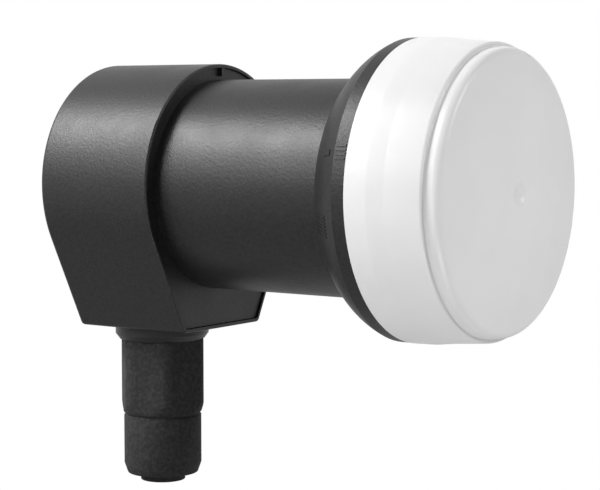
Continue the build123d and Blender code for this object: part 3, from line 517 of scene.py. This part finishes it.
class FlareArc:
    """The arc that the flare is turned from, in the half plane over the neck's axis."""

    def __init__(self, settings):
        start = Vector((NECK_END, NECK_RADIUS))
        end = Vector((NECK_END + settings.flare_length, FLANGE_RADIUS))
        chord = end - start
        bulge = settings.flare_bulge
        self.radius = (chord.length_squared / 4 + bulge**2) / (2 * bulge)
        inward = Vector((chord.y, -chord.x)).normalized()
        self.centre = (start + end) / 2 + inward * (self.radius - bulge)
        self.first = math.atan2(start.y - self.centre.y, self.centre.x - start.x)

    def point(self, along, lift):
        """Place on the flare in the upper half plane, a length along it from the neck and a lift over it."""
        angle = self.first + along / self.radius
        reach = self.radius + lift
        return Vector((self.centre.x - reach * math.cos(angle), 0, self.centre.y + reach * math.sin(angle)))


def level_turn(below):
    """Turn about the neck's axis from the top to a place below level on the -Y side."""
    return Matrix.Rotation(math.pi / 2 + below, 3, "X")


def bar(mesh, arc, relief, below, width, start, reach):
    """A raised bar that follows the flare from a start by the neck."""
    turn = level_turn(below)
    half = Vector((0, width / 2, 0))
    low = arc.point(start, -relief)
    high = arc.point(start, relief)
    corners = [mesh.verts.new(turn @ place) for place in (low - half, low + half, high + half, high - half)]
    face = mesh.faces.new(corners)
    bmesh.ops.spin(
        mesh, geom=[face, *face.edges, *corners], cent=turn @ Vector((arc.centre.x, 0, arc.centre.y)),
        axis=turn @ Vector((0, 1, 0)), angle=reach / arc.radius, steps=BAR_STEPS)


def ridge(mesh, settings, below):
    """A raised bar across the flange."""
    size = Vector((settings.flange_width * RIDGE_SHARE, settings.ridge_width, 2 * settings.relief))
    middle = Vector((NECK_END + settings.flare_length + settings.flange_width / 2, 0, FLANGE_RADIUS))
    place = level_turn(below).to_4x4() @ Matrix.Translation(middle) @ Matrix.Diagonal(size).to_4x4()
    bmesh.ops.create_cube(mesh, size=1, matrix=place)


class LNB_OT_scale(bpy.types.Operator):
    """Raises the skew scale on the flare and its index on the flange"""

    bl_idname = "lnb.scale"
    bl_label = "Skew scale"

    def execute(self, context):
        settings = context.scene.lnb_scale
        arc = FlareArc(settings)
        mesh = bmesh.new()
        for count in range(settings.ticks):
            below = settings.first + count * settings.step
            bar(
                mesh, arc, settings.relief, below, settings.tick_width, settings.setback,
                settings.tick_length)
        bar(
            mesh, arc, settings.relief, settings.index, settings.index_width, settings.index_setback,
            settings.index_length)
        spacing = settings.ridge_pitch / FLANGE_RADIUS
        for count in range(settings.ridges):
            ridge(mesh, settings, settings.index + spacing * (count - (settings.ridges - 1) / 2))
        material = frame["nodes"]["front_shroud"].material_slots[0].material
        finished("skew_scale", mesh, material, "lnb")
        return {"FINISHED"}


# Cap, with the number of runs in each stretch of its outline
DIMPLE_STEPS = 12
FACE_STEPS = 24
CEILING_STEPS = 12
ARC_STEPS = 10
FACE_MARGIN = 1.2  # where the face gives way to its rounded edge, in radii of that rounding


def even(start, end, steps):
    """Evenly spaced values from a start to an end, with both of them."""
    return [start + (end - start) * count / steps for count in range(steps + 1)]


def domed(top, reach, rise, radii):
    """Places on a dome at some radii, from its top along the axis, its reach and its rise."""
    ball = (reach**2 + rise**2) / (2 * rise)
    return [Vector((top - ball + math.sqrt(ball**2 - radius**2), radius)) for radius in radii]


def rounded(before, corner, after, radius):
    """Places on the arc that rounds a corner of an outline."""
    first = (before - corner).normalized()
    second = (after - corner).normalized()
    half = first.angle(second) / 2
    centre = corner + (first + second).normalized() * (radius / math.sin(half))
    start = corner + first * (radius / math.tan(half)) - centre
    end = corner + second * (radius / math.tan(half)) - centre
    return [centre + start.slerp(end, share).normalized() * radius for share in even(0, 1, ARC_STEPS)]


def cap_outline(settings):
    """Places along and out from the axis, from the middle of the face round the skirt to the ceiling."""
    back = Vector((CAP_LOW.x, CAP_HIGH.z))
    band = back + Vector((settings.band, -settings.band_draft))
    step = band + Vector((settings.step, -settings.step_draft))
    crest = step + Vector((settings.side, -settings.side_draft))
    groove = crest - Vector((settings.groove_depth, settings.groove))
    edge = Vector((crest.x + settings.stand, groove.y))
    apex = edge.x + settings.dome
    face_end = edge.y - settings.face_edge * FACE_MARGIN
    radii = even(0, settings.dimple, DIMPLE_STEPS)[:-1] + even(settings.dimple, face_end, FACE_STEPS)
    face = domed(apex, edge.y, settings.dome, radii)
    for place in face:
        place.x -= settings.dimple_depth * max(0, 1 - (place.y / settings.dimple) ** 2)
    inner = edge.y - settings.side_wall
    bore_end = back.x + settings.bore_length
    return [
        *face,
        *rounded(face[-1], edge, groove, settings.face_edge),
        *rounded(edge, groove, crest, settings.groove_softness),
        *rounded(groove, crest, step, settings.crest),
        *rounded(crest, step, band, settings.step_softness),
        *rounded(step, band, back, settings.step_softness),
        back,
        Vector((back.x, settings.bore)),
        Vector((bore_end, settings.bore)),
        Vector((bore_end, inner)),
        *domed(apex - settings.face_wall, inner, settings.dome, even(inner, 0, CEILING_STEPS)),
    ]


class LNB_OT_cap(bpy.types.Operator):
    """Turns the cap with its soft step, ring groove, domed face and dimple"""

    bl_idname = "lnb.cap"
    bl_label = "Cap"

    def execute(self, context):
        settings = context.scene.lnb_cap
        mesh = bmesh.new()
        places = [(place.x, 0, place.y) for place in cap_outline(settings)]
        bmesh.ops.spin(
            mesh, geom=wire(mesh, places), cent=(0, 0, 0), axis=AHEAD, angle=math.tau, steps=ROUND_STEPS,
            use_merge=True)
        bmesh.ops.remove_doubles(mesh, verts=mesh.verts, dist=WELD)
        piece = finished("soft_cap", mesh, cap_plastic(settings), "lnb", sharp=40)
        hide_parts("front_cap")
        return {"FINISHED"}


# Weather boot
FLAT_SOFTNESS = 70  # higher is crisper where a flat meets a corner
FLAT_CUTS = 8  # more rings on the flats and on the bevel below, for the press to shape
BEVEL_CUTS = 12
BOOT_EDGE_STEPS = 3


def press_flats(mesh, settings, floor):
    """Six flats pressed into the turned boot, soft where they meet the round corners."""
    for vert in mesh.verts:
        arm = (vert.co - CONNECTOR_AXIS).xy
        if arm.length <= settings.flat or vert.co.z < floor:
            continue
        side = math.tau / HEX_SIDES
        lean = (math.atan2(arm.y, arm.x) - settings.turn) % side - side / 2
        flat = settings.flat / math.cos(lean)
        pressed = (arm.length**-FLAT_SOFTNESS + flat**-FLAT_SOFTNESS) ** (-1 / FLAT_SOFTNESS)
        vert.co.xy = CONNECTOR_AXIS.xy + arm * (pressed / arm.length)


class LNB_OT_boot(bpy.types.Operator):
    """Turns the weather boot, rounds its edges and presses its flats"""

    bl_idname = "lnb.boot"
    bl_label = "Weather boot"

    def execute(self, context):
        settings = context.scene.lnb_boot
        top = BOOT_HIGH.z
        end = BOOT_LOW.z
        bevel_top = top - settings.hex_length
        groove_top = bevel_top - settings.bevel_height
        groove_floor = groove_top - settings.groove_width
        tail_end = end + settings.cable_lip_length
        lip_end = top - settings.lip_length
        cavity_end = lip_end - settings.cavity_length
        outline = [
            (settings.lip, top),
            (settings.corner, top),
            (settings.corner, bevel_top),
            (settings.tail, groove_top),
            (settings.tail - settings.groove_depth, groove_top),
            (settings.tail - settings.groove_depth, groove_floor),
            (settings.tail, groove_floor),
            (settings.tail, tail_end + settings.tail_bevel_height),
            (settings.tail - settings.tail_bevel, tail_end),
            (settings.cable_lip, tail_end),
            (settings.cable_lip, end),
            (CABLE_BORE, end),
            (CABLE_BORE, cavity_end),
            (settings.cavity, cavity_end),
            (settings.cavity, lip_end),
            (settings.lip, lip_end),
        ]
        mesh = bmesh.new()
        lathe(mesh, outline, ROUND_STEPS, cuts={1: FLAT_CUTS, 2: BEVEL_CUTS})
        round_edges(mesh, settings.edge, BOOT_EDGE_STEPS)
        press_flats(mesh, settings, groove_top)
        piece = finished("rubber_boot", mesh, boot_rubber(settings), "boot", sharp=40)
        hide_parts("weather_boot")
        return {"FINISHED"}


# F connector
THREAD_STEPS = 48  # faces round one turn
ROOT_SHARE = 1 / 4  # parts of the pitch that the thread's root and one flank take
FLANK_SHARE = 5 / 16
SPARE_TURNS = 2  # turns below the open end, which are cut off
THREAD_WELD = 0.01 * MM  # where one turn meets the next
TURNED_STEPS = 64  # faces round the shoulder and the shank


def cut_thread(mesh, settings, floor, top):
    """A screw thread, spun past both ends of the barrel and cut off level there."""
    root = THREAD_RADIUS - settings.depth
    crest_start = settings.pitch * (ROOT_SHARE + FLANK_SHARE)
    crest_end = settings.pitch * (1 - FLANK_SHARE)
    heights = (0, settings.pitch * ROOT_SHARE, crest_start, crest_end, settings.pitch)
    radii = (root, root, THREAD_RADIUS, THREAD_RADIUS, root)
    start = floor - SPARE_TURNS * settings.pitch
    places = [CONNECTOR_AXIS + Vector((radius, 0, start + height)) for radius, height in zip(radii, heights)]
    rise = UP * (settings.pitch / THREAD_STEPS)
    turns = math.ceil((top - start) / settings.pitch) + 1
    bmesh.ops.spin(
        mesh, geom=wire(mesh, places), cent=CONNECTOR_AXIS, axis=UP, dvec=rise, angle=turns * math.tau,
        steps=turns * THREAD_STEPS)
    bmesh.ops.remove_doubles(mesh, verts=mesh.verts, dist=THREAD_WELD)
    for height, side in ((floor, -UP), (top, UP)):
        bmesh.ops.bisect_plane(
            mesh, geom=[*mesh.verts, *mesh.edges, *mesh.faces], dist=WELD, plane_co=(0, 0, height),
            plane_no=side, clear_outer=True)


def chamfer_thread(mesh, settings, floor):
    """Turns the thread down towards the open end."""
    for vert in mesh.verts:
        arm = (vert.co - CONNECTOR_AXIS).xy
        limit = THREAD_RADIUS - settings.chamfer + max(0, vert.co.z - floor)
        if arm.length > limit:
            vert.co.xy = CONNECTOR_AXIS.xy + arm * (limit / arm.length)


def bore_barrel(mesh, floor, top):
    """Closes the thread's two ends round a bore and lines the bore."""
    rims = [edge for edge in mesh.edges if edge.is_boundary]
    bores = []
    for height in (floor, top):
        place = Matrix.Translation((CONNECTOR_AXIS.x, 0, height))
        ring = bmesh.ops.create_circle(
            mesh, segments=THREAD_STEPS, radius=CONNECTOR_BORE, matrix=place)["verts"]
        bore = list({edge for vert in ring for edge in vert.link_edges})
        rim = [edge for edge in rims if abs(edge.verts[0].co.z - height) < THREAD_WELD]
        bmesh.ops.bridge_loops(mesh, edges=rim + bore)
        bores += bore
    bmesh.ops.bridge_loops(mesh, edges=bores)


class LNB_OT_connector(bpy.types.Operator):
    """Cuts the F connector with its thread, shoulder, hex and shank"""

    bl_idname = "lnb.connector"
    bl_label = "F connector"

    def execute(self, context):
        settings = context.scene.lnb_connector
        floor = CONNECTOR_LOW.z
        shoulder_floor = floor + settings.thread_length
        barrel_top = shoulder_floor + settings.edge
        hex_corner = settings.hex_flats / math.sqrt(3)
        hex_floor = HEX_TOP - settings.hex_thickness
        mesh = bmesh.new()
        cut_thread(mesh, settings, floor, barrel_top)
        chamfer_thread(mesh, settings, floor)
        bore_barrel(mesh, floor, barrel_top)
        lathe(mesh, [
            (CONNECTOR_BORE, shoulder_floor),
            (settings.shoulder - settings.edge, shoulder_floor),
            (settings.shoulder, shoulder_floor + settings.edge),
            (settings.shoulder, HEX_TOP),
            (settings.shank, HEX_TOP),
            (settings.shank, CONNECTOR_HIGH.z),
            (settings.contact_hole, CONNECTOR_HIGH.z),
            (settings.contact_hole, INSULATOR_HIGH.z),
            (CONNECTOR_BORE, INSULATOR_HIGH.z),
        ], TURNED_STEPS)
        lathe(mesh, [
            (settings.shank, hex_floor),
            (hex_corner - settings.edge, hex_floor),
            (hex_corner, hex_floor + settings.edge),
            (hex_corner, HEX_TOP),
            (settings.shank, HEX_TOP),
        ], HEX_SIDES)
        piece = finished("f_connector", mesh, turned_metal("nickel"), "lnb", sharp=25)
        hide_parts("connector_body")
        return {"FINISHED"}


# Inside
class LNB_OT_inside(bpy.types.Operator):
    """Puts their metals, rubbers and coatings on the pieces inside"""

    bl_idname = "lnb.inside"
    bl_label = "Inside"

    def execute(self, context):
        for slot, make in INNER_FINISHES.items():
            material = make(slot)
            for node in (node for node, used in SLOT_OF.items() if used == slot):
                dress(node, material)
        return {"FINISHED"}


# Stage
FLOOR_SIDES = 96


def area_lamp(name, power, size, spread, place, target):
    """A square lamp whose beam, of a spread in degrees, points from its place at a target."""
    lamp = bpy.data.lights.new(name, "AREA")
    lamp.shape = "SQUARE"
    lamp.energy = power
    lamp.size = size
    lamp.spread = math.radians(spread)
    holder = bpy.data.objects.new(name, lamp)
    holder.location = place
    holder.rotation_euler = (Vector(target) - Vector(place)).to_track_quat("-Z", "Y").to_euler()
    bpy.context.scene.collection.objects.link(holder)


def seen_rays(tree):
    """1 on rays from the camera, from reflections and through clear surfaces, and 0 on the others."""
    path = tree.nodes.new("ShaderNodeLightPath")
    seen = path.outputs["Is Camera Ray"]
    for ray in ("Is Glossy Ray", "Is Transmission Ray"):
        either = tree.nodes.new("ShaderNodeMath")
        either.operation = "MAXIMUM"
        tree.links.new(seen, either.inputs[0])
        tree.links.new(path.outputs[ray], either.inputs[1])
        seen = either.outputs[0]
    return seen


def white_surround(ambient):
    """White to the camera and in reflections, and softer where it lights dull surfaces."""
    world = bpy.data.worlds.new("studio")
    bpy.context.scene.world = world
    world.use_nodes = True
    tree = world.node_tree
    background = tree.nodes["Background"]
    background.inputs["Color"].default_value = WHITE
    strength = tree.nodes.new("ShaderNodeMapRange")
    strength.inputs["To Min"].default_value = ambient
    tree.links.new(seen_rays(tree), strength.inputs["Value"])
    tree.links.new(strength.outputs["Result"], background.inputs["Strength"])


def paper_floor(settings):
    """A round sheet of pale paper, paler to the camera and in reflections than it is lit."""
    mesh = bmesh.new()
    bmesh.ops.create_circle(mesh, cap_ends=True, segments=FLOOR_SIDES, radius=settings.floor_radius)
    bmesh.ops.translate(mesh, verts=mesh.verts, vec=(0, 0, BOOT_LOW.z - settings.floor_drop))
    data = bpy.data.meshes.new("floor")
    mesh.to_mesh(data)
    mesh.free()
    paper = Finish("floor_paper")
    paper.mottle(settings.floor_colour, dark=0.99, light=1.0, width=200 * MM)
    paper.set(roughness=0.9, emission_color=WHITE)
    seen = seen_rays(paper.material.node_tree)
    paper.feed("Emission Strength", paper.spread(seen, low=0, high=settings.floor_glow, start=0, end=1))
    data.materials.append(paper.material)
    floor = bpy.data.objects.new("floor", data)
    bpy.context.scene.collection.objects.link(floor)


def photo_camera(settings):
    """The camera, at the photograph's viewing angle."""
    camera = bpy.data.cameras.new("camera")
    camera.sensor_fit = "HORIZONTAL"
    camera.sensor_width = settings.sensor
    camera.lens = settings.lens
    camera.clip_start = 10 * MM
    holder = bpy.data.objects.new("camera", camera)
    holder.location = settings.camera_place
    holder.rotation_euler = (settings.camera_tilt, 0, settings.camera_turn)
    bpy.context.scene.collection.objects.link(holder)
    bpy.context.scene.camera = holder


class LNB_OT_stage(bpy.types.Operator):
    """Sets up the floor, the soft studio light and the camera"""

    bl_idname = "lnb.stage"
    bl_label = "Stage"

    def execute(self, context):
        settings = context.scene.lnb_stage
        white_surround(settings.ambient)
        paper_floor(settings)
        area_lamp(
            "key", settings.key_power, size=0.2, spread=34, place=(-0.23, -0.165, 0.232),
            target=(-0.04, 0, 0))
        area_lamp(
            "front", settings.front_power, size=0.1, spread=34, place=(-0.15, -0.31, 0.13),
            target=(-0.022, 0, -0.03))
        area_lamp(
            "face", settings.face_power, size=0.1, spread=24, place=(0.34, 0.1, 0.18),
            target=(0.055, 0, 0))
        area_lamp(
            "fill", settings.fill_power, size=0.1, spread=28, place=(0.145, -0.25, -0.3),
            target=(0.045, 0, 0))
        photo_camera(settings)
        context.scene.view_settings.view_transform = "Standard"
        return {"FINISHED"}


# Panel and registration
class LNB_PT_pieces(bpy.types.Panel):
    """Lists the pieces of the LNB"""

    bl_idname = "LNB_PT_pieces"
    bl_label = "Satellite LNB"
    bl_space_type = "VIEW_3D"
    bl_region_type = "UI"
    bl_category = "LNB"

    def draw(self, context):
        for operator in OPERATORS:
            self.layout.operator(operator.bl_idname)


SETTINGS = {
    "lnb_housing": HousingSettings,
    "lnb_scale": ScaleSettings,
    "lnb_cap": CapSettings,
    "lnb_boot": BootSettings,
    "lnb_connector": ConnectorSettings,
    "lnb_stage": StageSettings,
}
OPERATORS = (
    LNB_OT_housing,
    LNB_OT_scale,
    LNB_OT_cap,
    LNB_OT_boot,
    LNB_OT_connector,
    LNB_OT_inside,
    LNB_OT_stage,
)


def register():
    for group in (*SETTINGS.values(), *OPERATORS, LNB_PT_pieces):
        bpy.utils.register_class(group)
    for name, group in SETTINGS.items():
        setattr(bpy.types.Scene, name, PointerProperty(type=group))


def unregister():
    for name in SETTINGS:
        delattr(bpy.types.Scene, name)
    for group in reversed((*SETTINGS.values(), *OPERATORS, LNB_PT_pieces)):
        bpy.utils.unregister_class(group)


def main():
    register()
    bpy.ops.lnb.housing()
    bpy.ops.lnb.scale()
    bpy.ops.lnb.cap()
    bpy.ops.lnb.boot()
    bpy.ops.lnb.connector()
    bpy.ops.lnb.inside()
    bpy.ops.lnb.stage()


if __name__ == "__main__":
    main()
